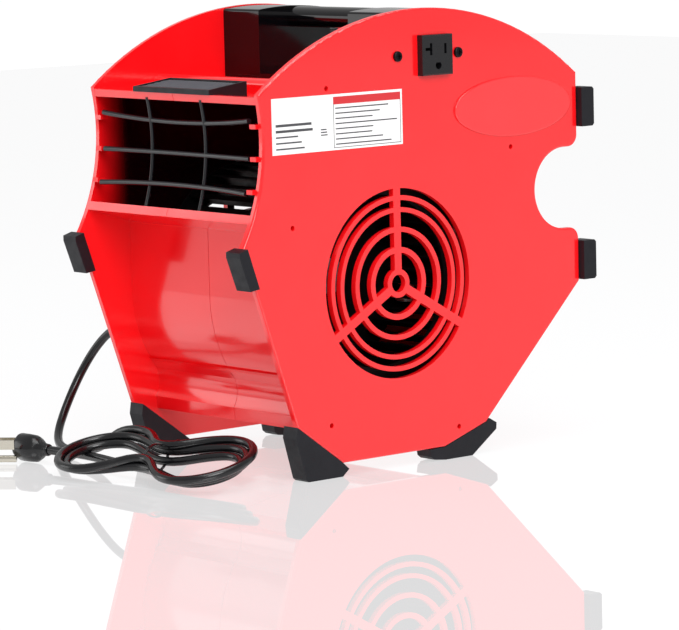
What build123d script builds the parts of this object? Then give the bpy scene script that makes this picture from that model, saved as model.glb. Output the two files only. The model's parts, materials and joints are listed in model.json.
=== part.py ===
from build123d import *
from math import asin, atan2, cos, degrees, pi, radians, sin, sqrt, tan
import os

# Portable air mover with a double-inlet centrifugal fan.
# The origin is on the floor under the middle of the machine. +Z is up, the outlet faces -Y
# and the fan turns about X. The moulded housing is two mirrored halves that meet at X = 0:
# each is one side panel with its inlet grille, half of the scroll and half of the nozzle.

# driving dimensions, mm
overall_height = 305.0
half_width = 90.0          # middle to a side panel's outer face
panel = 4.5                # side panel thickness
wall = 3.0                 # scroll wall thickness
fan_y, fan_z = -20.0, 123.5
inlet_r = 63.5
wheel_r = 74.0
gap = 0.3                  # between parts that move past each other
parting_gap = 0.4          # between the walls of the two halves
cord_r = 3.0

inner = half_width - panel
arch_y, arch_r = 5.0, 225.0                     # top edge of the side panels
arch_z = overall_height - arch_r
front_arc_y, front_arc_z, front_arc_r = -262.6, 226.0, 130.0
rear_y = 147.0
block_reach = 158.7                             # middle to the face of the rest blocks

os.makedirs("parts", exist_ok=True)
nodes = {}


def arch_height(y, inset=0.0):
    return arch_z + sqrt((arch_r - inset) ** 2 - (y - arch_y) ** 2)


def front_edge(z):
    return front_arc_y + sqrt(front_arc_r**2 - (z - front_arc_z) ** 2)


def prism(face, x_start, x_end):
    """Extrude a face drawn in Y and Z from x_start to x_end."""
    low, high = min(x_start, x_end), max(x_start, x_end)
    return extrude(Plane.YZ.offset(low) * face, high - low)


def polygon(*points):
    return make_face(Polyline(*points, close=True))


def disc(y, z, radius, x_start, x_end, bore=0.0):
    face = Circle(radius) - Circle(bore) if bore else Circle(radius)
    return prism(Pos(y, z) * face, x_start, x_end)


def block(x, y, z):
    """A box from its (low, high) pairs."""
    centre = [(pair[0] + pair[1]) / 2 for pair in (x, y, z)]
    return Pos(*centre) * Box(x[1] - x[0], y[1] - y[0], z[1] - z[0])


def bar_between(a, b, width):
    """Flat face of a straight rib from point a to point b."""
    length = sqrt((b[0] - a[0]) ** 2 + (b[1] - a[1]) ** 2)
    turn = degrees(atan2(b[1] - a[1], b[0] - a[0]))
    return Pos((a[0] + b[0]) / 2, (a[1] + b[1]) / 2) * Rot(0, 0, turn) * Rectangle(length, width)


def mirrored(shape):
    return mirror(shape, Plane.YZ)


# ---- side panel outline ------------------------------------------------------------
chin = (front_edge(158.0), 158.0)
front_top = (-136.0, arch_height(-136.0))
leg_foot = (-110.0, 37.0)
front_sole = (-71.5, 9.0)
rear_sole = (19.0, 9.0)
rear_heel = (57.0, 21.5)
rear_low = (rear_y, 110.0)
rear_top = (rear_y, arch_height(rear_y))
notch_y, notch_z, notch_r, notch_round = 134.5, 175.5, 28.0, 8.0


def panel_outline():
    high, low = notch_z + notch_r, notch_z - notch_r
    shoulder = rear_y - notch_round
    bulge = notch_round * (1 - cos(radians(45)))
    return make_face([
        ThreePointArc(front_top, (arch_y, overall_height), rear_top),
        Line(rear_top, (rear_y, high + notch_round)),
        ThreePointArc((rear_y, high + notch_round), (rear_y - bulge, high + bulge), (shoulder, high)),
        Line((shoulder, high), (notch_y, high)),
        ThreePointArc((notch_y, high), (notch_y - notch_r, notch_z), (notch_y, low)),
        Line((notch_y, low), (shoulder, low)),
        ThreePointArc((shoulder, low), (rear_y - bulge, low - bulge), (rear_y, low - notch_round)),
        Line((rear_y, low - notch_round), rear_low),
        Line(rear_low, rear_heel),
        Line(rear_heel, rear_sole),
        Line(rear_sole, front_sole),
        Line(front_sole, leg_foot),
        Line(leg_foot, chin),
        ThreePointArc(chin, (front_edge(206.0), 206.0), front_top),
    ])


# ---- scroll and nozzle sections ----------------------------------------------------
# Three tangent arcs, each (centre y, centre z, inner radius), widen from the front wall
# round the bottom and the rear to the roof.
arc_front = (-12.5, 117.0, 93.5)
arc_rear = (-12.5, 131.0, 107.5)
arc_roof = (-27.0, 131.0, 122.0)
roof_z = 249.0
deck_z = 256.0
deck_rear = 46.0
floor_front, floor_back = (-142.0, 178.5), (-98.9, 168.5)
lip_front, lip_back = (front_edge(173.0), 173.0), (-109.0, 162.0)
ridge_y, ridge_r = -78.0, 5.2
bosses = {"ridge": (-78.8, 256.5), "rear": (84.0, 207.3), "tongue": (-110.3, 167.8),
          "nose": (-81.3, 35.1), "heel": (31.5, 21.4)}
boss_r, screw_r, screw_hole_r = 4.5, 1.3, 1.7


def quarter(arc, grow, start, end):
    """Stretch of a scroll arc, grown outwards, between two angles in degrees."""
    y, z, radius = arc[0], arc[1], arc[2] + grow
    angles = [radians(a) for a in (start, (start + end) / 2, end)]
    return ThreePointArc(*[(y + radius * cos(a), z + radius * sin(a)) for a in angles])


def air_passage():
    """Section of the space that the fan and the air take up."""
    beyond = -170.0
    slope = (floor_front[1] - floor_back[1]) / (floor_front[0] - floor_back[0])
    floor_beyond = (beyond, floor_back[1] + slope * (beyond - floor_back[0]))
    arcs = [quarter(arc_front, 0, 180, 270), quarter(arc_rear, 0, 270, 360), quarter(arc_roof, 0, 0, 90)]
    return make_face(arcs + [
        Polyline(arcs[2] @ 1, (-84.0, roof_z), (beyond, roof_z), floor_beyond, floor_back),
        ThreePointArc(floor_back, (-96.4, 163.6), (-101.0, 159.8)),
        Polyline((-101.0, 159.8), (-106.0, 155.0), arcs[0] @ 0),
    ])


def housing_outside():
    """Section of everything that the scroll, nozzle and deck enclose."""
    front = quarter(arc_front, wall, 180, 270)
    rear = quarter(arc_rear, wall, 270, 360)
    deck_angle = degrees(asin((deck_rear - arc_roof[0]) / (arc_roof[2] + wall)))
    roof = quarter(arc_roof, wall, 0, 90 - deck_angle)
    return make_face([
        front, rear, roof,
        Polyline(roof @ 1, (deck_rear, deck_z), (ridge_y + ridge_r, deck_z)),
        ThreePointArc((ridge_y + ridge_r, deck_z), (ridge_y, deck_z + ridge_r), (ridge_y - ridge_r, deck_z)),
        Polyline((ridge_y - ridge_r, deck_z), (ridge_y - ridge_r, 251.5), (-130.0, 251.5), (-130.0, 254.0),
                 (front_edge(254.0), 254.0)),
        ThreePointArc((front_edge(254.0), 254.0), (front_edge(212.0), 212.0), lip_front),
        Polyline(lip_front, lip_back, front @ 0),
    ])


def nose():
    """Thickened chin under the front of the scroll."""
    return make_face([
        ThreePointArc((-96.5, 67.0), (-88.0, 54.0), (-91.0, 39.6)),
        Polyline((-91.0, 39.6), (-90.0, 31.0), (-52.0, 24.5), (-12.5, 20.5), (-30.0, 45.0), (-96.5, 67.0)),
    ])


def wall_section():
    y, z, radius = arc_roof
    under_deck = Pos(12.0, 235.0) * Rectangle(62.0, 35.0) - Pos(y, z) * Circle(radius + wall)
    y, z, radius = arc_front
    nose_hollow = polygon((-87.0, 51.0), (-87.5, 35.0), (-52.0, 28.0), (-40.0, 40.0))
    nose_hollow -= Pos(y, z) * Circle(radius + wall)
    return housing_outside() + (nose() - nose_hollow) - air_passage() - under_deck


# ---- moulded side: panel, grille, half of the walls ----------------------------------
grille_rings = [(58.7, 55.5), (50.7, 47.6), (37.8, 34.4), (24.3, 20.5), (9.6, 5.9)]
spoke_angles = (90, 210, 330)
spoke_width = 6.0
receptacle_y, receptacle_z = 14.7, 273.6
handle_screw_spots = [(-16.9, 274.0), (37.0, 274.0)]


def grille():
    face = Circle(grille_rings[0][0]) - Circle(grille_rings[0][1])
    for outer_r, inner_r in grille_rings[1:]:
        face += Circle(outer_r) - Circle(inner_r)
    hub_r = grille_rings[-1][0] - 1.5
    for angle in spoke_angles:
        reach = (hub_r + inlet_r + 1.0) / 2
        face += Rot(0, 0, angle) * Pos(reach, 0) * Rectangle(inlet_r + 1.0 - hub_r, spoke_width)
    return prism(Pos(fan_y, fan_z) * face, inner, half_width)


def side_panel():
    plate = prism(panel_outline(), inner, half_width)
    plate = fillet(plate.faces().sort_by(Axis.X)[-1].edges(), 1.5)
    return plate - disc(fan_y, fan_z, inlet_r, inner - 1, half_width + 1) + grille()


def housing_half(tongues, tapped):
    """The half on the +X side. Its bosses are tapped for the screws, or clear for them."""
    half = side_panel() + prism(wall_section(), parting_gap / 2, inner)
    for spot in bosses.values():
        half += disc(*spot, boss_r, 0, inner)
    for spot, foot in ((bosses["rear"], (72.0, 199.0)), (bosses["heel"], (28.5, 29.0))):
        half += prism(bar_between(spot, foot, 4.0), 0, inner)
    for z in (193.0, 214.0, 235.0):
        half += block((79.5, inner), (front_edge(z) - 2.5, front_edge(z) + 3.5), (z - 1.5, z + 1.5))
    for spot in bosses.values():
        if tapped:
            half -= disc(*spot, screw_r, -1, 22)
        else:
            half -= disc(*spot, screw_hole_r, -1, half_width + 1)
    for spot in handle_screw_spots:
        half -= disc(*spot, 1.6, inner - 1, half_width + 1)
    half -= block((inner - 1, half_width + 1), (receptacle_y - 12.8, receptacle_y + 12.8),
                  (receptacle_z - 12.8, receptacle_z + 12.8))
    return half - tongues - nodes["outlet_grid"]


# ---- feet and rest blocks ------------------------------------------------------------
foot_width = 14.0


def tongue(start, end, deep):
    """Rib of a foot that sits in the panel's edge, along the middle of start to end."""
    along = Vector(end[0] - start[0], end[1] - start[1])
    inward = Vector(fan_y + 25 - start[0], fan_z - start[1])
    normal = Vector(-along.Y, along.X).normalized()
    if normal.dot(inward) < 0:
        normal = normal * -1
    a = Vector(*start) + along * 0.25
    b = Vector(*start) + along * 0.75
    outside, inside = normal * -0.5, normal * deep
    corners = [a + outside, b + outside, b + inside, a + inside]
    middle = half_width - panel / 2
    return prism(polygon(*[(c.X, c.Y) for c in corners]), middle - 1.0, middle + 1.0)


def leg_point(down):
    """Point on the leg's front edge, a distance down from the chin."""
    whole = Vector(leg_foot[0] - chin[0], leg_foot[1] - chin[1])
    spot = Vector(*chin) + whole.normalized() * down
    return (spot.X, spot.Y)


def make_feet():
    """Each foot's solid on the +X side, and the tongue that holds it."""
    centred = (half_width - panel / 2 - foot_width / 2, half_width - panel / 2 + foot_width / 2)
    flush = (half_width - 0.5 - foot_width, half_width - 0.5)
    chin_low = leg_point(28.0)
    chin_face = [leg_point(0.0), (-block_reach, 156.0), (-block_reach, 152.5), (-150.6, 130.4), chin_low]
    front_profile = [leg_foot, (-111.2, 29.4), (-103.5, 1.5), (-101.5, 0.0), (-72.2, 0.0),
                     (-66.5, 4.6), front_sole]
    rear_profile = [rear_sole, (5.0, 8.4), (6.1, 3.4), (9.0, 1.2), (19.0, 0.0), (43.7, 0.0), (66.1, 15.6),
                    (66.4, 20.0), (60.0, 23.6), rear_heel]
    feet = {"chin_rest": (chin_face, centred, leg_point(0.0), chin_low),
            "front_foot": (front_profile, flush, leg_foot, front_sole),
            "rear_foot": (rear_profile, flush, rear_sole, rear_heel)}
    for name, low in (("upper_rear_rest", 217.0), ("lower_rear_rest", 111.0)):
        high = low + 27.0
        profile = [(rear_y, low), (block_reach - 1.5, low), (block_reach, low + 1.5),
                   (block_reach, high - 1.5), (block_reach - 1.5, high), (rear_y, high)]
        feet[name] = (profile, centred, (rear_y, low), (rear_y, high))
    made = {}
    for name, (profile, span, start, end) in feet.items():
        key = tongue(start, end, 4.0)
        made[name] = (prism(polygon(*profile), *span) + key, key)
    return made


# ---- outlet grid and rest pad -----------------------------------------------------------
def round_bar(a, middle, b, radius):
    path = ThreePointArc(a, middle, b)
    return sweep(Plane(origin=path @ 0, z_dir=path % 0) * Circle(radius), path)


def outlet_grid():
    bar_r, upright_r, half_span, upright_x = 1.8, 1.3, 77.5, 28.5
    grid = None
    for x in (-upright_x, upright_x):
        upright = round_bar((x, -134.5, 250.5), (x, -131.2, 214.0), (x, -138.6, 176.5), upright_r)
        grid = upright if grid is None else grid + upright
    for end_z, middle_z in ((238.5, 234.4), (214.0, 213.9), (191.6, 193.5)):
        end_y = front_edge(end_z) - 0.8
        ends = [(side * half_span, end_y, end_z) for side in (-1, 1)]
        grid += round_bar(ends[0], (0, end_y + 3.4, middle_z), ends[1], bar_r)
    return grid


def nozzle_rest_pad():
    half_length = 40.5
    pad = prism(polygon((-137.0, 254.0), (-137.0, 257.4), (-105.0, 261.4), (-105.0, 251.5), (-130.0, 251.5),
                        (-130.0, 254.0)), -half_length, half_length)
    well = prism(polygon((-134.8, 256.2), (-107.0, 259.7), (-107.0, 265.0), (-134.8, 262.0)),
                 -half_length + 2.0, half_length - 2.0)
    return pad - well


# ---- handle ------------------------------------------------------------------------
handle_front, handle_rear = -22.0, 42.0
opening_half = 47.0
handle_wall = 3.0
grip_y, grip_z = 13.0, 296.6


def handle_profile(inset):
    """Outline of the handle housing in Y and Z, just under the side panels' arch."""
    front, rear, low = handle_front + inset, handle_rear - inset, deck_z + inset
    front_high, middle, rear_high = [(y, arch_height(y, 0.6 + inset)) for y in (front, arch_y, rear)]
    return make_face([
        Polyline(front_high, (front, low), (rear, low), rear_high),
        ThreePointArc(rear_high, middle, front_high),
    ])


def grip():
    reach = opening_half + handle_wall
    return prism(Pos(grip_y, grip_z) * Ellipse(10.0, 7.2), -reach, reach)


def handle_housing():
    shell = None
    for side in (1, -1):
        end_block = prism(handle_profile(0), side * opening_half, side * (inner - 0.2))
        end_block = fillet(end_block.edges().filter_by(Axis.X).group_by(Axis.Z)[-1], 2.0)
        end_block -= prism(handle_profile(handle_wall), side * (opening_half + handle_wall), side * inner)
        for spot in handle_screw_spots:
            end_block += disc(*spot, 3.4, side * 68.0, side * (inner - 0.2))
            end_block -= disc(*spot, 1.4, side * 72.0, side * inner)
        shell = end_block if shell is None else shell + end_block
    shell += block((-opening_half, opening_half), (handle_front, handle_rear), (deck_z, deck_z + handle_wall))
    shell -= nodes["grip"]
    shell -= Pos(knob_x, handle_rear, control_z) * Rot(90, 0, 0) * Cylinder(3.8, 12)
    shell -= Pos(button_x, handle_rear, control_z) * Rot(90, 0, 0) * Cylinder(4.0 + gap, 12)
    return shell


def pan_screw(y, z):
    """Pan-head screw, driven in -X through the panel into the handle housing."""
    screw = disc(y, z, 1.4, 73.0, half_width)
    head = disc(y, z, 3.5, half_width, half_width + 2.2)
    head = fillet(head.faces().sort_by(Axis.X)[-1].edges(), 1.2)
    for turn in (0, 90):
        head -= prism(Pos(y, z) * Rot(0, 0, turn) * Rectangle(3.6, 0.9), half_width + 1.0, half_width + 3.0)
    return screw + head


# ---- sockets, label, badges ------------------------------------------------------------
def receptacle():
    """Flush-mounted 20 A socket with one T-shaped slot, one straight slot and an earth hole."""
    y, z = receptacle_y, receptacle_z
    face = half_width + 5.8
    front = prism(Pos(y, z) * Rectangle(27.0, 27.0), half_width, face)
    front = chamfer(front.faces().sort_by(Axis.X)[-1].edges(), 0.9)
    body = front + prism(Pos(y, z) * Rectangle(25.4, 25.4), 66.0, half_width)
    slots = Pos(y - 6.35, z + 4.0) * (Rectangle(2.0, 8.0) + Pos(-2.5, 0) * Rectangle(5.0, 2.0))
    slots += Pos(y + 6.35, z + 4.0) * Rectangle(2.0, 6.8)
    slots += Pos(y, z - 7.0) * (Circle(2.6) - Pos(0, 3.9) * Rectangle(6.0, 4.0))
    return body - prism(slots, face - 14.0, face + 1)


def badge():
    plate = prism(Pos(86.4, 234.8) * Ellipse(53.5, 20.2), half_width, half_width + 1.5)
    return fillet(plate.faces().sort_by(Axis.X)[-1].edges(), 0.8)


def rating_label():
    return block((half_width, half_width + 0.3), (-125.5, -13.7), (216.0, 252.5))


# ---- controls --------------------------------------------------------------------------
control_z = 278.0
knob_x, button_x = -59.0, 56.0


def along_y(x, z, radius, y_start, y_end, bore=0.0):
    face = Circle(radius) - Circle(bore) if bore else Circle(radius)
    return extrude(Plane(origin=(x, y_start, z), x_dir=(1, 0, 0), z_dir=(0, 1, 0)) * face, y_end - y_start)


def speed_knob():
    skirt, crown, flutes = 11.0, 8.6, 12
    knob = along_y(knob_x, control_z, skirt, handle_rear + 0.6, handle_rear + 3.6)
    knob += along_y(knob_x, control_z, crown, handle_rear + 3.6, handle_rear + 15.0)
    for index in range(flutes):
        angle = 2 * pi * index / flutes
        x, z = knob_x + 9.4 * cos(angle), control_z + 9.4 * sin(angle)
        knob -= along_y(x, z, 1.6, handle_rear + 3.6, handle_rear + 16.0)
    knob -= block((knob_x - 0.6, knob_x + 0.6), (handle_rear + 14.2, handle_rear + 16.0),
                  (control_z + 1.0, control_z + 9.0))
    return knob - along_y(knob_x, control_z, 3.0, handle_rear, handle_rear + 9.0)


def potentiometer():
    return (along_y(knob_x, control_z, 8.0, 29.0, handle_rear - handle_wall)
            + along_y(knob_x, control_z, 3.7, handle_rear - handle_wall, handle_rear + 0.4)
            - along_y(knob_x, control_z, 3.05, 33.0, handle_rear + 1))


def breaker():
    case = block((50.2, 62.0), (12.0, handle_rear - handle_wall), (266.0, 290.0))
    return case - along_y(button_x, control_z, 4.0 + gap, 30.5, handle_rear)


def reset_button():
    button = along_y(button_x, control_z, 4.0, 34.6, handle_rear + 4.0)
    return fillet(button.faces().sort_by(Axis.Y)[-1].edges(), 0.8)


# ---- motor and fan, about the X axis through the fan's centre ----------------------------
shaft_r, bearing_r, motor_r = 5.0, 11.0, 42.0
motor_left, motor_right = -62.0, -2.0
bracket_angles = (60, 180, 300)


def turned(radius, x_start, x_end, bore=0.0):
    return disc(fan_y, fan_z, radius, x_start, x_end, bore)


def around(radius, angle):
    return (fan_y + radius * cos(radians(angle)), fan_z + radius * sin(radians(angle)))


def motor_bell(outer_x, inward):
    """End cover of the motor, with a seat for its bearing."""
    bell = turned(motor_r, outer_x, outer_x + inward * 4.0) + turned(15.0, outer_x, outer_x + inward * 8.0)
    for angle in range(0, 360, 45):
        bell -= disc(*around(29.0, angle + 22.5), 4.5, outer_x - 9, outer_x + 9)
    return bell - turned(bearing_r, outer_x - 9, outer_x + 9)


def stator():
    core = turned(40.0, -48.0, -16.0, 22.0)
    for angle in range(0, 360, 15):
        core -= disc(*around(23.5, angle), 1.6, -49.0, -15.0)
    return core


def motor_windings():
    return turned(37.0, -54.0, -48.0, 26.0) + turned(37.0, -16.0, -10.5, 26.0)


def motor_bracket():
    """Spider that hangs the motor from the left panel."""
    plate_left, plate_right = -76.0, -73.0
    bracket = turned(30.0, plate_left, plate_right)
    for angle in bracket_angles:
        middle = around(47.0, angle)
        arm = Pos(*middle) * Rot(0, 0, angle) * Rectangle(54.0, 12.0)
        foot = Pos(*around(74.0, angle)) * Rot(0, 0, angle) * Rectangle(12.0, 14.0)
        bracket += prism(arm, plate_left, plate_right) + prism(foot, -inner, plate_right)
    for angle in bracket_angles:
        bracket -= disc(*around(20.0, angle), 3.0, -80.0, -70.0)
    return bracket - turned(8.0, -80.0, -70.0)


def motor_mount(angle):
    """Rubber bush between the motor and its bracket, with a stem through the bracket."""
    return disc(*around(20.0, angle), 6.0, -73.0, motor_left) + disc(*around(20.0, angle), 3.0, -77.5, -73.0)


def impeller_wheel():
    """Blades curved forwards in the turning direction, between a centre plate and end rings."""
    blade_count, blade_inner, blade_thick, half_length = 40, 59.0, 1.2, 70.0
    ring_width, plate = 2.0, (4.0, 6.5)
    blades = None
    for index in range(blade_count):
        angle = 360.0 * index / blade_count
        a = around(blade_inner, angle)
        b = around((blade_inner + wheel_r) / 2, angle + 0.6)
        c = around(wheel_r - 0.4, angle + 7.5)
        blade = trace(ThreePointArc(a, b, c), blade_thick)
        blades = blade if blades is None else blades + blade
    wheel = prism(blades, -half_length, half_length)
    wheel += turned(wheel_r, -half_length, -half_length + ring_width, blade_inner - 1.0)
    wheel += turned(wheel_r, half_length - ring_width, half_length, blade_inner - 1.0)
    return wheel + turned(wheel_r, *plate, 12.0)


def impeller_hub():
    hub = turned(12.0, 0.0, 20.0, shaft_r)
    return hub - Pos(14.0, fan_y, fan_z + 8.5) * Cylinder(2.0, 9.0)


def hub_set_screw():
    screw = Pos(14.0, fan_y, fan_z + 8.4) * Cylinder(2.0, 6.6)
    return screw - Pos(14.0, fan_y, fan_z + 11.5) * Cylinder(1.0, 3.0)


# ---- supply cord -------------------------------------------------------------------------
exit_y, exit_z, relief_tip = -80.0, 84.0, -118.0
cord_route = [(relief_tip, exit_y, exit_z), (-134.5, -80, 84), (-150, -81.8, 77.5), (-161, -86.5, 65),
              (-166.5, -94, 50), (-167, -103, 35.5), (-163, -113.5, 22.5), (-155, -124.5, 12.3),
              (-143, -133.8, 6.3), (-127.5, -140.5, 4.6), (-110.5, -143.8, 4.9), (-93.5, -145.2, 7.2),
              (-77, -144.6, 11.4), (-61.5, -142.3, 16.6)]
hank_middle = Vector(8, -165.5, 14.7)
hank_turn, hank_tilt = 9.5, 15.0
hank_plane = Plane(hank_middle, x_dir=(cos(radians(hank_turn)), sin(radians(hank_turn)), 0),
                   z_dir=Vector(0, 0, 1).rotate(Axis.X, hank_tilt).rotate(Axis.Z, hank_turn))
hank_half_length, lobe_r, waist_r = 83.0, 38.0, 13.0
lobe_thick, waist_thick = 10.0, 15.0
plug_middle = Vector(-112.5, -175, 10.2)
plug_axis = Vector(-0.99, -0.14, 0).normalized()
plug_half = 13.5
lead_route = [tuple(plug_middle - plug_axis * plug_half), (-89, -172.5, 11.2), (-79, -173.5, 13)]


def tube(points, label):
    """Round cord along a route, with each corner as wide as its runs allow."""
    spots = [Vector(*point) for point in points]
    runs = [spots[i + 1] - spots[i] for i in range(len(spots) - 1)]
    radii = [0.45 * min(a.length, b.length) / tan(radians(a.get_angle(b)) / 2)
             for a, b in zip(runs, runs[1:])]
    print(label, "radii", [round(radius, 1) for radius in radii])
    path = FilletPolyline(*spots, radius=radii)
    solid = sweep(Plane(origin=path @ 0, z_dir=path % 0) * Circle(cord_r), path)
    full = pi * cord_r**2 * path.length
    print(label, "length", round(path.length, 1), "volume ratio", round(solid.volume / full, 4))
    return solid


def strain_relief():
    """Gland in the left panel with a ribbed sleeve that tapers towards the cord."""
    y, z = exit_y, exit_z
    relief = disc(y, z, 7.5, -half_width - 2.5, -half_width) + disc(y, z, 5.0, -half_width, -82.0)
    relief += disc(y, z, 7.5, -inner, -82.0)
    core = Plane.YZ.offset(-half_width - 2.5) * Pos(y, z) * Circle(5.0)
    tip = Plane.YZ.offset(relief_tip) * Pos(y, z) * Circle(3.6)
    relief += loft([tip, core])
    rings = 6
    for index in range(rings):
        x = -half_width - 5.0 - 3.8 * index
        relief += disc(y, z, 6.0 - 0.35 * index, x - 1.8, x)
    return relief


def cord_hank():
    """Outer shape of the folded cord: two lobes drawn together at the tie."""
    lobes = None
    for side in (-1, 1):
        circle = Pos(side * (hank_half_length - lobe_r), 0) * Circle(lobe_r)
        lobe = make_hull(circle.edges() + Circle(waist_r).edges())
        lobes = lobe if lobes is None else lobes + lobe
    hank = extrude(hank_plane * lobes, lobe_thick / 2, both=True)
    hank += extrude(hank_plane * Rectangle(24.0, 2 * waist_r), waist_thick / 2, both=True)
    return hank - block((-400, 400), (-400, 400), (-60, 0))


def hank_tie():
    band = Rectangle(6.0, 2 * waist_r + 6.0)
    return extrude(hank_plane * band, waist_thick / 2 + 1.5, both=True) - nodes["cord_hank"]


def plug_frame():
    return Plane(plug_middle, x_dir=(0, 0, 1), z_dir=plug_axis).rotated((0, 0, 35))


def plug_body():
    frame = plug_frame()
    face = RectangleRounded(19.0, 20.0, 8.5)
    back = Pos(0, 0, -plug_half) * Circle(4.6)
    middle = Pos(0, 0, -plug_half + 12.0) * face
    body = frame * loft([back, middle])
    return body + frame * extrude(middle, plug_half * 2 - 12.0)


def plug_pins():
    frame = plug_frame() * Pos(0, 0, plug_half)
    blades = Pos(3.5, -6.35) * Rectangle(6.3, 1.5) + Pos(3.5, 6.35) * Rectangle(6.3, 1.5)
    pins = extrude(blades, 15.9) + extrude(Pos(-7.0, 0) * Circle(2.4), 16.5)
    return frame * pins


# ---- all nodes ---------------------------------------------------------------------------
nodes["outlet_grid"] = outlet_grid()
feet = make_feet()
foot_tongues = [key for _, key in feet.values()]
relief_hole = disc(exit_y, exit_z, 5.0, -half_width - 1, -inner + 1)
nodes["right_housing"] = housing_half(foot_tongues, tapped=False)
nodes["left_housing"] = mirrored(housing_half(foot_tongues, tapped=True)) - relief_hole
nodes["housing_screws"] = Compound([disc(*spot, screw_r, -20.0, 78.0) + disc(*spot, 1.6, 78.0, 81.0)
                                    for spot in bosses.values()])
nodes["nozzle_rest_pad"] = nozzle_rest_pad()
for name, (foot, _) in feet.items():
    nodes["right_" + name] = foot
    nodes["left_" + name] = mirrored(foot)
nodes["grip"] = grip()
nodes["handle_housing"] = handle_housing()
nodes["handle_screws"] = Compound([side for spot in handle_screw_spots
                                   for side in (pan_screw(*spot), mirrored(pan_screw(*spot)))])
nodes["right_receptacle"] = receptacle()
nodes["left_receptacle"] = receptacle().rotate(Axis((0, receptacle_y, 0), (0, 0, 1)), 180)
nodes["right_badge"] = badge()
nodes["left_badge"] = mirrored(badge())
nodes["rating_label"] = rating_label()
nodes["speed_knob"] = speed_knob()
nodes["knob_shaft"] = along_y(knob_x, control_z, 3.0, 33.5, handle_rear + 9.0)
nodes["potentiometer"] = potentiometer()
nodes["control_board"] = block((-53.2, -51.6), (-15.0, 27.0), (262.0, 294.0))
nodes["breaker"] = breaker()
nodes["reset_button"] = reset_button()
nodes["capacitor"] = block((50.5, 62.0), (-16.0, 8.0), (262.0, 290.0))
nodes["motor_shell"] = turned(motor_r, motor_left + 4.0, motor_right - 4.0, 40.0)
nodes["motor_left_bell"] = motor_bell(motor_left, 1)
nodes["motor_right_bell"] = motor_bell(motor_right, -1)
nodes["stator"] = stator()
nodes["motor_windings"] = motor_windings()
nodes["left_bearing"] = turned(bearing_r, motor_left, motor_left + 8.0, shaft_r + 0.05)
nodes["right_bearing"] = turned(bearing_r, motor_right - 8.0, motor_right, shaft_r + 0.05)
nodes["motor_bracket"] = motor_bracket()
nodes["motor_mounts"] = Compound([motor_mount(angle) for angle in bracket_angles])
nodes["motor_shaft"] = turned(shaft_r, -68.0, 24.0)
nodes["rotor_core"] = turned(21.5, -48.0, -16.0, shaft_r)
nodes["impeller_wheel"] = impeller_wheel()
nodes["impeller_hub"] = impeller_hub()
nodes["hub_set_screw"] = hub_set_screw()
nodes["strain_relief"] = strain_relief()
nodes["supply_cord"] = tube(cord_route, "supply cord")
nodes["cord_hank"] = cord_hank()
nodes["hank_tie"] = hank_tie()
nodes["plug_lead"] = tube(lead_route, "plug lead")
nodes["plug_body"] = plug_body()
nodes["plug_pins"] = plug_pins()

for name, shape in nodes.items():
    export_step(shape, "parts/" + name + ".step")
print(len(nodes), "nodes written")
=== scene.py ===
import json
from math import cos, pi, radians, sin, sqrt
import bmesh
import bpy
from mathutils import Matrix, Vector


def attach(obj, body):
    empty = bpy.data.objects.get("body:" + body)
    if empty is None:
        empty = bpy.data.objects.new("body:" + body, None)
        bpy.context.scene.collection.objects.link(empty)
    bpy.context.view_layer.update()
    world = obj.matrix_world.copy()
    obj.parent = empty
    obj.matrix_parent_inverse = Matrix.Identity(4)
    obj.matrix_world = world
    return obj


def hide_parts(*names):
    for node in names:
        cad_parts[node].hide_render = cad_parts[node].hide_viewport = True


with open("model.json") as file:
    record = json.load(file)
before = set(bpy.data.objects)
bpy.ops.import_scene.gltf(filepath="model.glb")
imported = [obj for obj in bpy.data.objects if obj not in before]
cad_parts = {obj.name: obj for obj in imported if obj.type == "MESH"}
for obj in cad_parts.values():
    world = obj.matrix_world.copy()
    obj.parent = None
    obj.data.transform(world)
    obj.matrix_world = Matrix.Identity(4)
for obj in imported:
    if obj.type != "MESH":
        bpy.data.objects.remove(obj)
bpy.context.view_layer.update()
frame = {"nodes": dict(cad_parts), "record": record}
nodes = frame["nodes"]
mm = 0.001
print("frame loaded,", len(nodes), "nodes")


# small helpers

def toLinear(hexColour):
    parts = [int(hexColour[i:i + 2], 16) / 255 for i in (1, 3, 5)]
    return tuple(c / 12.92 if c <= 0.04045 else ((c + 0.055) / 1.055) ** 2.4 for c in parts) + (1.0,)


def addNode(tree, kind, settings=None, links=None):
    node = tree.nodes.new(kind)
    for key, value in (settings or {}).items():
        if isinstance(key, int) or key in node.inputs:
            node.inputs[key].default_value = value
        else:
            setattr(node, key, value)
    for key, socket in (links or {}).items():
        tree.links.new(socket, node.inputs[key])
    return node


def smoothStep(x):
    x = min(max(x, 0.0), 1.0)
    return x * x * (3 - 2 * x)


def newPiece(name, mesh):
    piece = bpy.data.objects.new(name, mesh)
    bpy.context.scene.collection.objects.link(piece)
    return piece


# camera

cameraPlace = {
    "azimuth": 49.64, "elevation": 7.06, "roll": -1.43,   # degrees
    "lens": 200.9, "sensor": 36, "farClip": 50,            # mm, mm, metres
    "pivot": (0.0, -0.01998, 0.1235), "distance": 2.5851,  # metres
    "aside": 0.01915, "down": 0.02795,                     # metres, so that the object sits off centre
}


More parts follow.
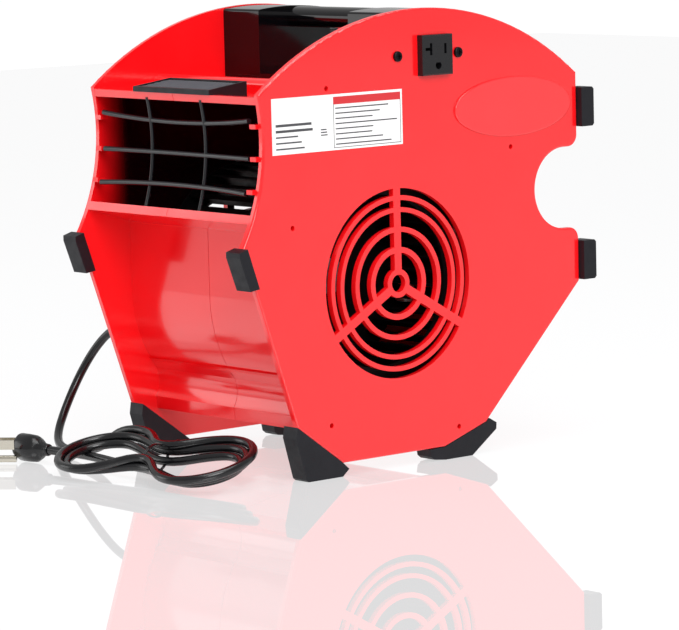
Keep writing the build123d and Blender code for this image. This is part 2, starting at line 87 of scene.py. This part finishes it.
def makeCamera(place):
    az, el, roll = (radians(place[key]) for key in ("azimuth", "elevation", "roll"))
    back = Vector((sin(az) * cos(el), -cos(az) * cos(el), sin(el)))
    level = Vector((cos(az), sin(az), 0))
    upright = back.cross(level)
    right = level * cos(roll) + upright * sin(roll)
    up = upright * cos(roll) - level * sin(roll)
    spot = Vector(place["pivot"]) + right * place["aside"] - up * place["down"] + back * place["distance"]
    data = bpy.data.cameras.new("studioCamera")
    data.lens = place["lens"]
    data.sensor_width = place["sensor"]
    data.clip_end = place["farClip"]
    camera = newPiece("studioCamera", data)
    camera.matrix_world = Matrix((right, up, back)).transposed().to_4x4()
    camera.location = spot
    bpy.context.scene.camera = camera


makeCamera(cameraPlace)
print("camera placed")


# studio: white floor, white surroundings, large soft lights

studio = {
    "surroundings": "#FFFFFF", "litStrength": 0.55, "seenStrength": 1.02,   # as a light, and as it shows
    "floorColour": "#6E6E70", "floorGlow": 0.95, "floorMirror": 0.38, "floorSize": 8.0,
    "aim": (0, 0, 0.15),
    "lights": [  # name, place, size, power in watts
        ("topSoftbox", (0.5, -0.3, 1.6), 1.2, 16),
        ("keySoftbox", (1.8, -1.0, 1.3), 1.0, 26),
        ("edgeSoftbox", (-1.35, -1.15, 0.5), 0.8, 4),
    ],
}


def makeStudio(look):
    world = bpy.data.worlds.new("studio")
    bpy.context.scene.world = world
    world.use_nodes = True
    tree = world.node_tree
    ground = tree.nodes["Background"]
    ground.inputs["Color"].default_value = toLinear(look["surroundings"])
    ray = addNode(tree, "ShaderNodeLightPath").outputs   # full white seen straight or in the floor
    seen = addNode(tree, "ShaderNodeMath", {"operation": "MAXIMUM"})
    tree.links.new(ray["Is Camera Ray"], seen.inputs[0])
    tree.links.new(ray["Is Singular Ray"], seen.inputs[1])
    strength = addNode(tree, "ShaderNodeMapRange", {
        "To Min": look["litStrength"], "To Max": look["seenStrength"]}, {"Value": seen.outputs[0]})
    tree.links.new(strength.outputs["Result"], ground.inputs["Strength"])
    bpy.context.scene.view_settings.view_transform = "Standard"
    half = look["floorSize"] / 2
    mesh = bpy.data.meshes.new("studioFloor")
    corners = [(-half, -half, 0), (half, -half, 0), (half, half, 0), (-half, half, 0)]
    mesh.from_pydata(corners, [], [(0, 1, 2, 3)])
    floor = newPiece("studioFloor", mesh)
    material = bpy.data.materials.new("whiteAcrylicSheet")   # lit from below, with a clear polished face
    material.use_nodes = True
    tree = material.node_tree
    tree.nodes.remove(tree.nodes["Principled BSDF"])
    sheet = addNode(tree, "ShaderNodeBsdfDiffuse", {"Color": toLinear(look["floorColour"])})
    glow = addNode(tree, "ShaderNodeEmission", {"Strength": look["floorGlow"]})
    body = addNode(tree, "ShaderNodeAddShader")
    tree.links.new(sheet.outputs[0], body.inputs[0])
    tree.links.new(glow.outputs[0], body.inputs[1])
    polish = addNode(tree, "ShaderNodeBsdfGlossy", {"Roughness": 0.0})
    face = addNode(tree, "ShaderNodeMixShader", {"Fac": look["floorMirror"]})
    tree.links.new(body.outputs[0], face.inputs[1])
    tree.links.new(polish.outputs[0], face.inputs[2])
    tree.links.new(face.outputs[0], tree.nodes["Material Output"].inputs["Surface"])
    mesh.materials.append(material)
    for name, place, size, power in look["lights"]:
        data = bpy.data.lights.new(name, "AREA")
        data.shape = "SQUARE"
        data.size = size
        data.energy = power
        light = newPiece(name, data)
        light.location = place
        aim = Vector(look["aim"]) - light.location
        light.rotation_euler = aim.to_track_quat("-Z", "Y").to_euler()


makeStudio(studio)
print("studio ready")


# materials

plasticIor = 1.52       # close to that of ABS, nylon and PVC
coatRoughness = 0.06
bumpDepth = 0.3 * mm
patchesPerBlotch = 3.1  # the sheen changes over shorter distances than the colour

plastics = {  # blotch and grain are sizes in mm
    # injection-moulded ABS: a deep saturated red under a smooth gloss, barely wavy where the skin cooled
    "mouldedRedAbs": {"main": "#FC141B", "other": "#F40F17", "blotch": 70, "rough": (0.13, 0.22),
                      "grain": 9.0, "bump": 0.05, "coat": 0.35},
    # the same ABS, polished on the raised badge
    "polishedRedAbs": {"main": "#F91A22", "other": "#F2141B", "blotch": 50, "rough": (0.08, 0.14),
                       "grain": 12.0, "bump": 0.03, "coat": 0.6},
    # black ABS with a mirror gloss that mirrors soft lights in sharp patches
    "pianoBlackAbs": {"main": "#050507", "other": "#08080B", "blotch": 60, "rough": (0.06, 0.12),
                      "grain": 10.0, "bump": 0.05, "coat": 0.0, "specular": 0.3},
    # black polypropylene: softer satin gloss, greyer where light grazes it
    "satinBlackPolypropylene": {"main": "#0B0B0E", "other": "#121318", "blotch": 25, "rough": (0.16, 0.26),
                                "grain": 1.6, "bump": 0.10, "coat": 0.0, "specular": 0.4},
    # glass-filled nylon of the fan wheel: dull black that the light barely reaches
    "dullBlackNylon": {"main": "#050506", "other": "#08080A", "blotch": 20, "rough": (0.45, 0.6),
                       "grain": 1.2, "bump": 0.08, "coat": 0.0, "specular": 0.2},
    # thermoplastic rubber of the feet: matt charcoal with a fine spark-eroded grain
    "charcoalRubber": {"main": "#121217", "other": "#19191F", "blotch": 18, "rough": (0.40, 0.55),
                       "grain": 0.9, "bump": 0.22, "coat": 0.0, "specular": 0.25},
    # the same rubber on the raised ribs, coloured a lighter grey than the rest of the pad
    "greyRibRubber": {"main": "#3E3F46", "other": "#55565D", "blotch": 8, "rough": (0.35, 0.5), "grain": 0.9,
                      "bump": 0.15, "coat": 0.0, "specular": 0.5},
    # nylon of the sockets: near black, even satin
    "satinNylon": {"main": "#0C0C0F", "other": "#131316", "blotch": 12, "rough": (0.24, 0.36), "grain": 0.8,
                   "bump": 0.08, "coat": 0.0, "specular": 0.4},
    # polyester label film: white, faintly warm, smooth under a clear laminate
    "labelFilm": {"main": "#F4F3F2", "other": "#EDECEC", "blotch": 40, "rough": (0.22, 0.30), "grain": 3.0,
                  "bump": 0.02, "coat": 0.3},
    "labelInkRed": {"main": "#D2252C", "other": "#C71F27", "blotch": 20, "rough": (0.28, 0.36), "grain": 2.0,
                    "bump": 0.02, "coat": 0.2},
    "labelInkGrey": {"main": "#3C3C40", "other": "#48484C", "blotch": 10, "rough": (0.30, 0.40), "grain": 2.0,
                     "bump": 0.02, "coat": 0.2},
    # flexible PVC jacket: black, slightly oily sheen with faint lengthwise waviness
    "flexiblePvc": {"main": "#08080A", "other": "#0E0E11", "blotch": 14, "rough": (0.16, 0.26), "grain": 2.4,
                    "bump": 0.10, "coat": 0.0, "specular": 0.45},
    "greenCircuitBoard": {"main": "#0F4A26", "other": "#135B30", "blotch": 9, "rough": (0.30, 0.40),
                          "grain": 1.2, "bump": 0.05, "coat": 0.2},
}
metals = {  # streak is the width of a streak in mm
    # zinc-plated and rolled steel: cool grey with fine directional streaks
    "rolledSteel": {"main": "#9A9CA0", "other": "#7F8186", "streak": 0.8, "rough": (0.28, 0.42)},
    "enamelledCopper": {"main": "#B4633A", "other": "#8C4526", "streak": 0.6, "rough": (0.25, 0.38)},
    # nickel-plated brass pins: bright, slightly warm
    "nickelledBrass": {"main": "#D9D4C8", "other": "#C3BDAF", "streak": 0.5, "rough": (0.16, 0.28)},
    # black-oxide screws: dark steel that still glints
    "blackOxideSteel": {"main": "#1B1B1D", "other": "#2A2A2D", "streak": 0.5, "rough": (0.30, 0.45)},
}
streakStretch = (0.08, 1.0, 1.0)   # streaks run along X, as the shaft does
finishes = {}


def makePlastic(name, look):
    material = bpy.data.materials.new(name)
    material.use_nodes = True
    tree = material.node_tree
    shader = tree.nodes["Principled BSDF"]
    place = addNode(tree, "ShaderNodeTexCoord").outputs["Object"]
    cloud = addNode(tree, "ShaderNodeTexNoise", {"Scale": 1 / (look["blotch"] * mm), "Detail": 2.0},
                    {"Vector": place})
    shade = addNode(tree, "ShaderNodeMix", {"data_type": "RGBA"}, {"Factor": cloud.outputs["Fac"]})
    shade.inputs[6].default_value = toLinear(look["main"])
    shade.inputs[7].default_value = toLinear(look["other"])
    tree.links.new(shade.outputs[2], shader.inputs["Base Color"])
    low, high = look["rough"]
    patches = addNode(tree, "ShaderNodeTexNoise", {
        "Scale": patchesPerBlotch / (look["blotch"] * mm), "Detail": 3.0}, {"Vector": place})
    spread = addNode(tree, "ShaderNodeMapRange", {
        "From Min": 0.3, "From Max": 0.7, "To Min": low, "To Max": high}, {"Value": patches.outputs["Fac"]})
    tree.links.new(spread.outputs["Result"], shader.inputs["Roughness"])
    grain = addNode(tree, "ShaderNodeTexNoise", {"Scale": 1 / (look["grain"] * mm), "Detail": 2.0},
                    {"Vector": place})
    bump = addNode(tree, "ShaderNodeBump", {"Strength": look["bump"], "Distance": bumpDepth},
                   {"Height": grain.outputs["Fac"]})
    tree.links.new(bump.outputs["Normal"], shader.inputs["Normal"])
    shader.inputs["IOR"].default_value = plasticIor
    shader.inputs["Specular IOR Level"].default_value = look.get("specular", 0.5)
    shader.inputs["Coat Weight"].default_value = look["coat"]
    shader.inputs["Coat Roughness"].default_value = coatRoughness
    return material


def makeMetal(name, look):
    material = bpy.data.materials.new(name)
    material.use_nodes = True
    tree = material.node_tree
    shader = tree.nodes["Principled BSDF"]
    place = addNode(tree, "ShaderNodeTexCoord").outputs["Object"]
    stretched = addNode(tree, "ShaderNodeMapping", {"Scale": streakStretch}, {"Vector": place})
    streaks = addNode(tree, "ShaderNodeTexNoise", {"Scale": 1 / (look["streak"] * mm), "Detail": 3.0},
                      {"Vector": stretched.outputs["Vector"]})
    shade = addNode(tree, "ShaderNodeMix", {"data_type": "RGBA"}, {"Factor": streaks.outputs["Fac"]})
    shade.inputs[6].default_value = toLinear(look["main"])
    shade.inputs[7].default_value = toLinear(look["other"])
    tree.links.new(shade.outputs[2], shader.inputs["Base Color"])
    spread = addNode(tree, "ShaderNodeMapRange", {"To Min": look["rough"][0], "To Max": look["rough"][1]},
                     {"Value": streaks.outputs["Fac"]})
    tree.links.new(spread.outputs["Result"], shader.inputs["Roughness"])
    shader.inputs["Metallic"].default_value = 1.0
    return material


# the faces of the red shell that bound its duct and scroll get painted shade, coloured darker than the outer
# ones because little light leaves them; the limits, in metres, take in those inner faces only
shellShadeZone = {
    "halfWidth": 0.0858, "frontFade": (-0.136, -0.108), "rear": 0.03, "floor": 0.169, "roof": 0.2499,
    "scrollCentre": (0.0, -0.0125, 0.117), "scrollRadius": 0.0945, "dark": "#160002",
}


def paintShadeInside(material, where):
    tree = material.node_tree
    shader = tree.nodes["Principled BSDF"]
    outer = shader.inputs["Base Color"].links[0].from_socket
    place = addNode(tree, "ShaderNodeTexCoord").outputs["Object"]
    axes = addNode(tree, "ShaderNodeSeparateXYZ", None, {"Vector": place}).outputs

    def compare(socket, limit, rule):
        node = addNode(tree, "ShaderNodeMath", {"operation": rule})
        tree.links.new(socket, node.inputs[0])
        node.inputs[1].default_value = limit
        return node.outputs[0]

    def combine(a, b, rule):
        node = addNode(tree, "ShaderNodeMath", {"operation": rule})
        tree.links.new(a, node.inputs[0])
        tree.links.new(b, node.inputs[1])
        return node.outputs[0]

    aside = addNode(tree, "ShaderNodeMath", {"operation": "ABSOLUTE"}, {"Value": axes["X"]}).outputs[0]
    between = compare(aside, where["halfWidth"], "LESS_THAN")
    lip, deep = where["frontFade"]
    fade = addNode(tree, "ShaderNodeMapRange", {
        "interpolation_type": "SMOOTHSTEP", "From Min": lip, "From Max": deep}, {"Value": axes["Y"]})
    duct = combine(fade.outputs["Result"], compare(axes["Y"], where["rear"], "LESS_THAN"), "MULTIPLY")
    duct = combine(duct, compare(axes["Z"], where["floor"], "GREATER_THAN"), "MULTIPLY")
    duct = combine(duct, compare(axes["Z"], where["roof"], "LESS_THAN"), "MULTIPLY")
    flat = addNode(tree, "ShaderNodeVectorMath", {"operation": "MULTIPLY"}, {0: place})
    flat.inputs[1].default_value = (0, 1, 1)
    away = addNode(tree, "ShaderNodeVectorMath", {"operation": "DISTANCE"}, {0: flat.outputs[0]})
    away.inputs[1].default_value = where["scrollCentre"]
    scroll = compare(away.outputs["Value"], where["scrollRadius"], "LESS_THAN")
    inside = combine(combine(duct, scroll, "MAXIMUM"), between, "MULTIPLY")
    # inside the duct and scroll the red is mixed to the dark painted-shade colour
    shade = addNode(tree, "ShaderNodeMix", {"data_type": "RGBA"}, {"Factor": inside})
    tree.links.new(outer, shade.inputs[6])
    shade.inputs[7].default_value = toLinear(where["dark"])
    tree.links.new(shade.outputs[2], shader.inputs["Base Color"])


for name, look in plastics.items():
    finishes[name] = makePlastic(name, look)
# the red shell's inner faces get a painted shade
paintShadeInside(finishes["mouldedRedAbs"], shellShadeZone)
for name, look in metals.items():
    finishes[name] = makeMetal(name, look)

slotFinish = {
    "red_shell": "mouldedRedAbs", "red_badge": "polishedRedAbs", "label_film": "labelFilm",
    "black_gloss": "pianoBlackAbs", "black_grid": "satinBlackPolypropylene", "black_rubber": "charcoalRubber",
    "socket_nylon": "satinNylon", "black_screw": "blackOxideSteel", "knob_plastic": "satinNylon",
    "board": "greenCircuitBoard", "wheel_plastic": "dullBlackNylon", "steel": "rolledSteel",
    "copper": "enamelledCopper", "mount_rubber": "charcoalRubber", "cord_pvc": "flexiblePvc",
    "pin_brass": "nickelledBrass",
}
for part in frame["record"]["subparts"]:
    node = nodes[part["node"]]
    node.data.materials.clear()
    node.data.materials.append(finishes[slotFinish[part["material_slot"]]])
print("materials on", len(nodes), "nodes")


# repeats: one node tree per pattern, a grid of cells laid on a plane

def repeatTree(name, addCell):
    tree = bpy.data.node_groups.new(name, "GeometryNodeTree")
    sockets = {"Columns": "NodeSocketInt", "Rows": "NodeSocketInt", "Width": "NodeSocketFloat",
               "Depth": "NodeSocketFloat", "Row Shift": "NodeSocketFloat", "Shortest": "NodeSocketFloat",
               "Cell": "NodeSocketVector", "Place": "NodeSocketVector", "Turn": "NodeSocketVector",
               "Finish": "NodeSocketMaterial"}
    for label, kind in sockets.items():
        tree.interface.new_socket(label, in_out="INPUT", socket_type=kind)
    tree.interface.new_socket("Geometry", in_out="OUTPUT", socket_type="NodeSocketGeometry")
    given = addNode(tree, "NodeGroupInput").outputs
    grid = addNode(tree, "GeometryNodeMeshGrid", None, {
        "Size X": given["Width"], "Size Y": given["Depth"],
        "Vertices X": given["Columns"], "Vertices Y": given["Rows"]})
    index = addNode(tree, "GeometryNodeInputIndex").outputs[0]
    row = addNode(tree, "ShaderNodeMath", {"operation": "MODULO"})
    tree.links.new(index, row.inputs[0])
    tree.links.new(given["Rows"], row.inputs[1])
    odd = addNode(tree, "ShaderNodeMath", {"operation": "MODULO", 1: 2.0}, {0: row.outputs[0]})
    shift = addNode(tree, "ShaderNodeMath", {"operation": "MULTIPLY"})
    tree.links.new(odd.outputs[0], shift.inputs[0])
    tree.links.new(given["Row Shift"], shift.inputs[1])
    offset = addNode(tree, "ShaderNodeCombineXYZ", None, {"X": shift.outputs[0]})
    moved = addNode(tree, "GeometryNodeSetPosition", None, {
        "Geometry": grid.outputs["Mesh"], "Offset": offset.outputs[0]})
    length = addNode(tree, "FunctionNodeRandomValue", {"Seed": 7}, {2: given["Shortest"]})
    stretch = addNode(tree, "ShaderNodeCombineXYZ", {"Y": 1.0, "Z": 1.0}, {"X": length.outputs[1]})
    cells = addNode(tree, "GeometryNodeInstanceOnPoints", None, {
        "Points": moved.outputs[0], "Instance": addCell(tree, given), "Scale": stretch.outputs[0]})
    real = addNode(tree, "GeometryNodeRealizeInstances", None, {"Geometry": cells.outputs[0]})
    laid = addNode(tree, "GeometryNodeTransform", None, {
        "Geometry": real.outputs[0], "Translation": given["Place"], "Rotation": given["Turn"]})
    painted = addNode(tree, "GeometryNodeSetMaterial", None, {
        "Geometry": laid.outputs[0], "Material": given["Finish"]})
    result = addNode(tree, "NodeGroupOutput")
    tree.links.new(painted.outputs[0], result.inputs["Geometry"])
    return tree


def hexagonCell(tree, given):
    axes = addNode(tree, "ShaderNodeSeparateXYZ", None, {"Vector": given["Cell"]}).outputs
    ring = addNode(tree, "GeometryNodeCurvePrimitiveCircle", {"Resolution": 6}, {"Radius": axes["X"]})
    rib = addNode(tree, "GeometryNodeCurvePrimitiveCircle", {"Resolution": 5}, {"Radius": axes["Y"]})
    turned = addNode(tree, "GeometryNodeTransform", {"Rotation": (0, 0, radians(30))},
                     {"Geometry": ring.outputs[0]})
    tube = addNode(tree, "GeometryNodeCurveToMesh", None, {
        "Curve": turned.outputs[0], "Profile Curve": rib.outputs[0]})
    return tube.outputs[0]


def barCell(tree, given):
    bar = addNode(tree, "GeometryNodeMeshCube", None, {"Size": given["Cell"]})
    half = addNode(tree, "ShaderNodeVectorMath", {"operation": "MULTIPLY"}, {0: given["Cell"]})
    half.inputs[1].default_value = (0.5, 0, 0)
    moved = addNode(tree, "GeometryNodeTransform", None, {
        "Geometry": bar.outputs["Mesh"], "Translation": half.outputs[0]})
    return moved.outputs[0]


def makeRepeat(name, tree, settings, finish):
    holder = newPiece(name, bpy.data.meshes.new(name + "Base"))
    modifier = holder.modifiers.new("repeat", "NODES")
    modifier.node_group = tree
    identifiers = {item.name: item.identifier for item in tree.interface.items_tree if item.in_out == "INPUT"}
    for label, value in settings.items():
        modifier[identifiers[label]] = value
    modifier[identifiers["Finish"]] = finishes[finish]
    bpy.context.view_layer.update()
    graph = bpy.context.evaluated_depsgraph_get()
    mesh = bpy.data.meshes.new_from_object(holder.evaluated_get(graph))
    holder.modifiers.clear()
    holder.data = mesh
    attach(holder, "frame")


# rating label: a border, a header band and plain bars where lines of print would be

labelFace = 90.34     # a hair above the film, in mm
inkThickness = 0.06
# left end, lowest bar, length and height of each bar, bars, height of the block, shortest share, finish
labelBars = {
    "header": (-73.5, 248.3, 58.3, 5.0, 1, 0, 1.0, "labelInkRed"),
    "borderLow": (-73.5, 217.6, 58.3, 0.4, 1, 0, 1.0, "labelInkGrey"),
    "borderLeft": (-73.5, 231.9, 0.4, 28.6, 1, 0, 1.0, "labelInkGrey"),
    "borderRight": (-15.6, 231.9, 0.4, 28.6, 1, 0, 1.0, "labelInkGrey"),
    "notice": (-71.8, 219.8, 54.5, 0.8, 8, 23.5, 0.55, "labelInkGrey"),
    "modelLines": (-122.5, 219.6, 26.0, 1.0, 3, 7.6, 0.7, "labelInkGrey"),
    "titleLines": (-122.5, 231.0, 32.0, 1.7, 2, 3.8, 0.9, "labelInkGrey"),
    "stamp": (-84.5, 226.5, 6.0, 0.8, 3, 3.6, 0.8, "labelInkGrey"),
}
barTree = repeatTree("labelBarRepeat", barCell)
for name, (left, low, length, height, count, tall, shortest, finish) in labelBars.items():
    makeRepeat("label_" + name, barTree, {
        "Columns": 1, "Rows": count, "Width": 0.0, "Depth": tall * mm, "Row Shift": 0.0, "Shortest": shortest,
        "Cell": (length * mm, height * mm, inkThickness * mm),
        "Place": (labelFace * mm, left * mm, (low + tall / 2) * mm),
        "Turn": (radians(90), 0.0, radians(90))}, finish)
print("label printed")


# honeycomb grip in the rest pad's recess, which slopes down to the front

honeycomb = {  # mm and degrees
    "radius": 1.95, "rib": 0.42, "columns": 22, "rows": 8, "middle": (-0.85, -120.9, 258.3), "slope": 7.18,
}


def makeHoneycomb(look):
    across, along = look["radius"] * sqrt(3), look["radius"] * 1.5
    width, depth = across * (look["columns"] - 1), along * (look["rows"] - 1)
    middle = Vector(look["middle"])
    makeRepeat("padHoneycomb", repeatTree("honeycombRepeat", hexagonCell), {
        "Columns": look["columns"], "Rows": look["rows"], "Width": width * mm, "Depth": depth * mm,
        "Row Shift": across / 2 * mm, "Shortest": 1.0,
        "Cell": (look["radius"] * mm, look["rib"] * mm, 0.0),
        "Place": tuple(middle * mm), "Turn": (radians(look["slope"]), 0.0, 0.0)},
        "greyRibRubber")


makeHoneycomb(honeycomb)
print("pad honeycomb made")


# supply cord: down from the gland, three laps of a flat hank held by a wire tie, out to the plug; all in mm

def makeWire(name, points, thickness, roundness, steps):
    curve = bpy.data.curves.new(name + "Curve", "CURVE")
    curve.dimensions = "3D"
    spline = curve.splines.new("NURBS")
    spline.points.add(len(points) - 1)
    for spot, point in zip(spline.points, points):
        spot.co = (*point, 1)
    spline.order_u = 3
    spline.use_endpoint_u = True
    spline.resolution_u = steps
    curve.bevel_depth = thickness / 2 * mm
    curve.bevel_resolution = roundness
    curve.use_fill_caps = True
    curve.materials.append(finishes["flexiblePvc"])
    print(name, "length", round(spline.calc_length(), 4))
    return newPiece(name, curve)


cordLook = {
    "diameter": 6.0,
    "route": [(-118, -80, 84), (-134.5, -80, 84), (-150, -81.8, 77.5), (-161, -86.5, 65), (-166.5, -94, 50),
              (-167, -103, 35.5), (-163, -113.5, 22.5), (-155, -124.5, 12.3), (-143, -133.8, 6.3),
              (-127.5, -140.5, 4.6), (-110.5, -143.8, 4.9), (-93.5, -145.2, 7.2), (-77, -144.6, 11.4)],
    "length": 1.325,   # metres
}
hank = {
    "middle": (8, -165.5, 14.7), "turn": 9.5, "tilt": 15.0,
    "laps": [(80, 36, 4, 6), (75, 30, 9, 0), (70, 24, 4, -6)],   # reach, lobe radius, half waist, level
    "lobeAngles": (112, 67, 22, -22, -67, -112), "lobeLevel": 0.55,   # a lap lies flatter at its lobes
    "lead": [(-22, -3.5, -5.5), (-44, 1.5, -6), (-66, 6, -6.5), (-84, 8.3, -7), (-96, 8.8, -7.2)],
}
plugLook = {"back": (-99.13, -173.11, 10.2), "axis": (-0.9901, -0.14, 0), "roll": 35, "around": 40}


def hankPoint(along, across, above):
    turn, tilt = radians(hank["turn"]), radians(hank["tilt"])
    u = Vector((cos(turn), sin(turn), 0))
    w = Vector((-sin(turn) * cos(tilt), cos(turn) * cos(tilt), sin(tilt)))
    return (Vector(hank["middle"]) + u * along + w * across + u.cross(w) * above) * mm


def hankTurns():
    angles = hank["lobeAngles"]
    first, laps = hank["laps"][0], hank["laps"]

    def lobePoint(side, angle, lap):
        reach, radius, waist, level = lap
        along = reach - radius + radius * cos(radians(angle))
        return hankPoint(side * along, side * radius * sin(radians(angle)), level * hank["lobeLevel"])

    points = [lobePoint(-1, angle, first) for angle in angles[-2:]] + [hankPoint(0, first[2], first[3])]
    for lap, after in zip(laps, laps[1:] + [None]):
        points += [lobePoint(1, angle, lap) for angle in angles] + [hankPoint(0, -lap[2], lap[3])]
        if after:
            for index, angle in enumerate(angles):
                share = smoothStep(index / (len(angles) - 1))
                points.append(lobePoint(-1, angle, [a + (b - a) * share for a, b in zip(lap, after)]))
            points.append(hankPoint(0, after[2], after[3]))
    return points


def makeCord():
    points = [Vector(p) * mm for p in cordLook["route"]] + hankTurns()
    points += [hankPoint(*p) for p in hank["lead"]] + [Vector(plugLook["back"]) * mm]
    return makeWire("supplyCord", points, cordLook["diameter"], 5, 6)


cord = makeCord()
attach(cord, "frame")
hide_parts("supply_cord", "cord_hank", "plug_lead")


tieLook = {
    "wire": 1.1, "halfWidth": 12.4, "halfHeight": 9.4, "turns": 2, "pitch": 1.3, "stepsPerTurn": 16,
    "tail": 14, "tailSteps": 8, "twist": 1.3, "twistRadius": 0.8, "rise": 0.4,   # twist in radians a step
}


def makeWireTie(look):
    points = []
    for step in range(look["turns"] * look["stepsPerTurn"] + 1):
        share = step / look["stepsPerTurn"]
        angle = 2 * pi * step / look["stepsPerTurn"]
        lift = look["halfHeight"] * sin(angle)
        points.append(hankPoint(look["pitch"] * (share - 1), look["halfWidth"] * cos(angle), lift))
    for step in range(1, look["tailSteps"] + 1):   # the free end, curled as a twisted pair is
        angle = look["twist"] * step
        reach = look["halfWidth"] + look["tail"] * step / look["tailSteps"]
        lift = look["twistRadius"] * sin(angle) + look["rise"] * step
        points.append(hankPoint(look["twistRadius"] * cos(angle), reach, lift))
    return makeWire("wireTie", points, look["wire"], 3, 12)


tie = makeWireTie(tieLook)
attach(tie, "frame")
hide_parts("hank_tie")


# moulded plug: flat-sided grip that narrows into a ribbed neck
plugSections = [  # distance from the back, width, height, squareness (2 is round)
    (0.0, 7.4, 7.4, 2.0), (1.2, 8.4, 8.4, 2.0), (2.4, 7.2, 7.2, 2.0), (3.6, 9.0, 8.8, 2.0),
    (4.8, 7.8, 7.6, 2.0), (6.0, 10.4, 9.6, 2.2), (7.2, 9.6, 8.8, 2.3), (9.0, 14.8, 12.8, 2.4),
    (12.5, 18.2, 17.0, 2.6),
    (19.0, 18.8, 17.8, 2.6), (25.6, 18.8, 17.8, 2.6), (26.7, 18.2, 17.2, 2.6), (27.0, 17.2, 16.2, 2.6),
]


def makePlug():
    axis = Vector(plugLook["axis"]).normalized()
    side = axis.cross(Vector((0, 0, 1))).normalized()
    side = Matrix.Rotation(radians(plugLook["roll"]), 3, axis) @ side
    other = axis.cross(side)
    shape = bmesh.new()
    rings = []
    around = plugLook["around"]
    for distance, width, height, power in plugSections:
        ring = []
        for index in range(around):
            angle = 2 * pi * index / around
            c, s = cos(angle), sin(angle)
            x = width / 2 * abs(c) ** (2 / power) * (1 if c >= 0 else -1)
            y = height / 2 * abs(s) ** (2 / power) * (1 if s >= 0 else -1)
            spot = Vector(plugLook["back"]) + axis * distance + side * x + other * y
            ring.append(shape.verts.new(spot * mm))
        rings.append(ring)
    for low, high in zip(rings, rings[1:]):
        for index in range(around):
            nextIndex = (index + 1) % around
            shape.faces.new((low[index], low[nextIndex], high[nextIndex], high[index]))
    shape.faces.new(rings[0])
    shape.faces.new(rings[-1])
    bmesh.ops.recalc_face_normals(shape, faces=shape.faces)
    for face in shape.faces:
        face.smooth = len(face.verts) == 4
    mesh = bpy.data.meshes.new("plugBody")
    shape.to_mesh(mesh)
    shape.free()
    mesh.materials.append(finishes["flexiblePvc"])
    return newPiece("mouldedPlug", mesh)


plug = makePlug()
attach(plug, "frame")
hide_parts("plug_body")
print("cord laid")
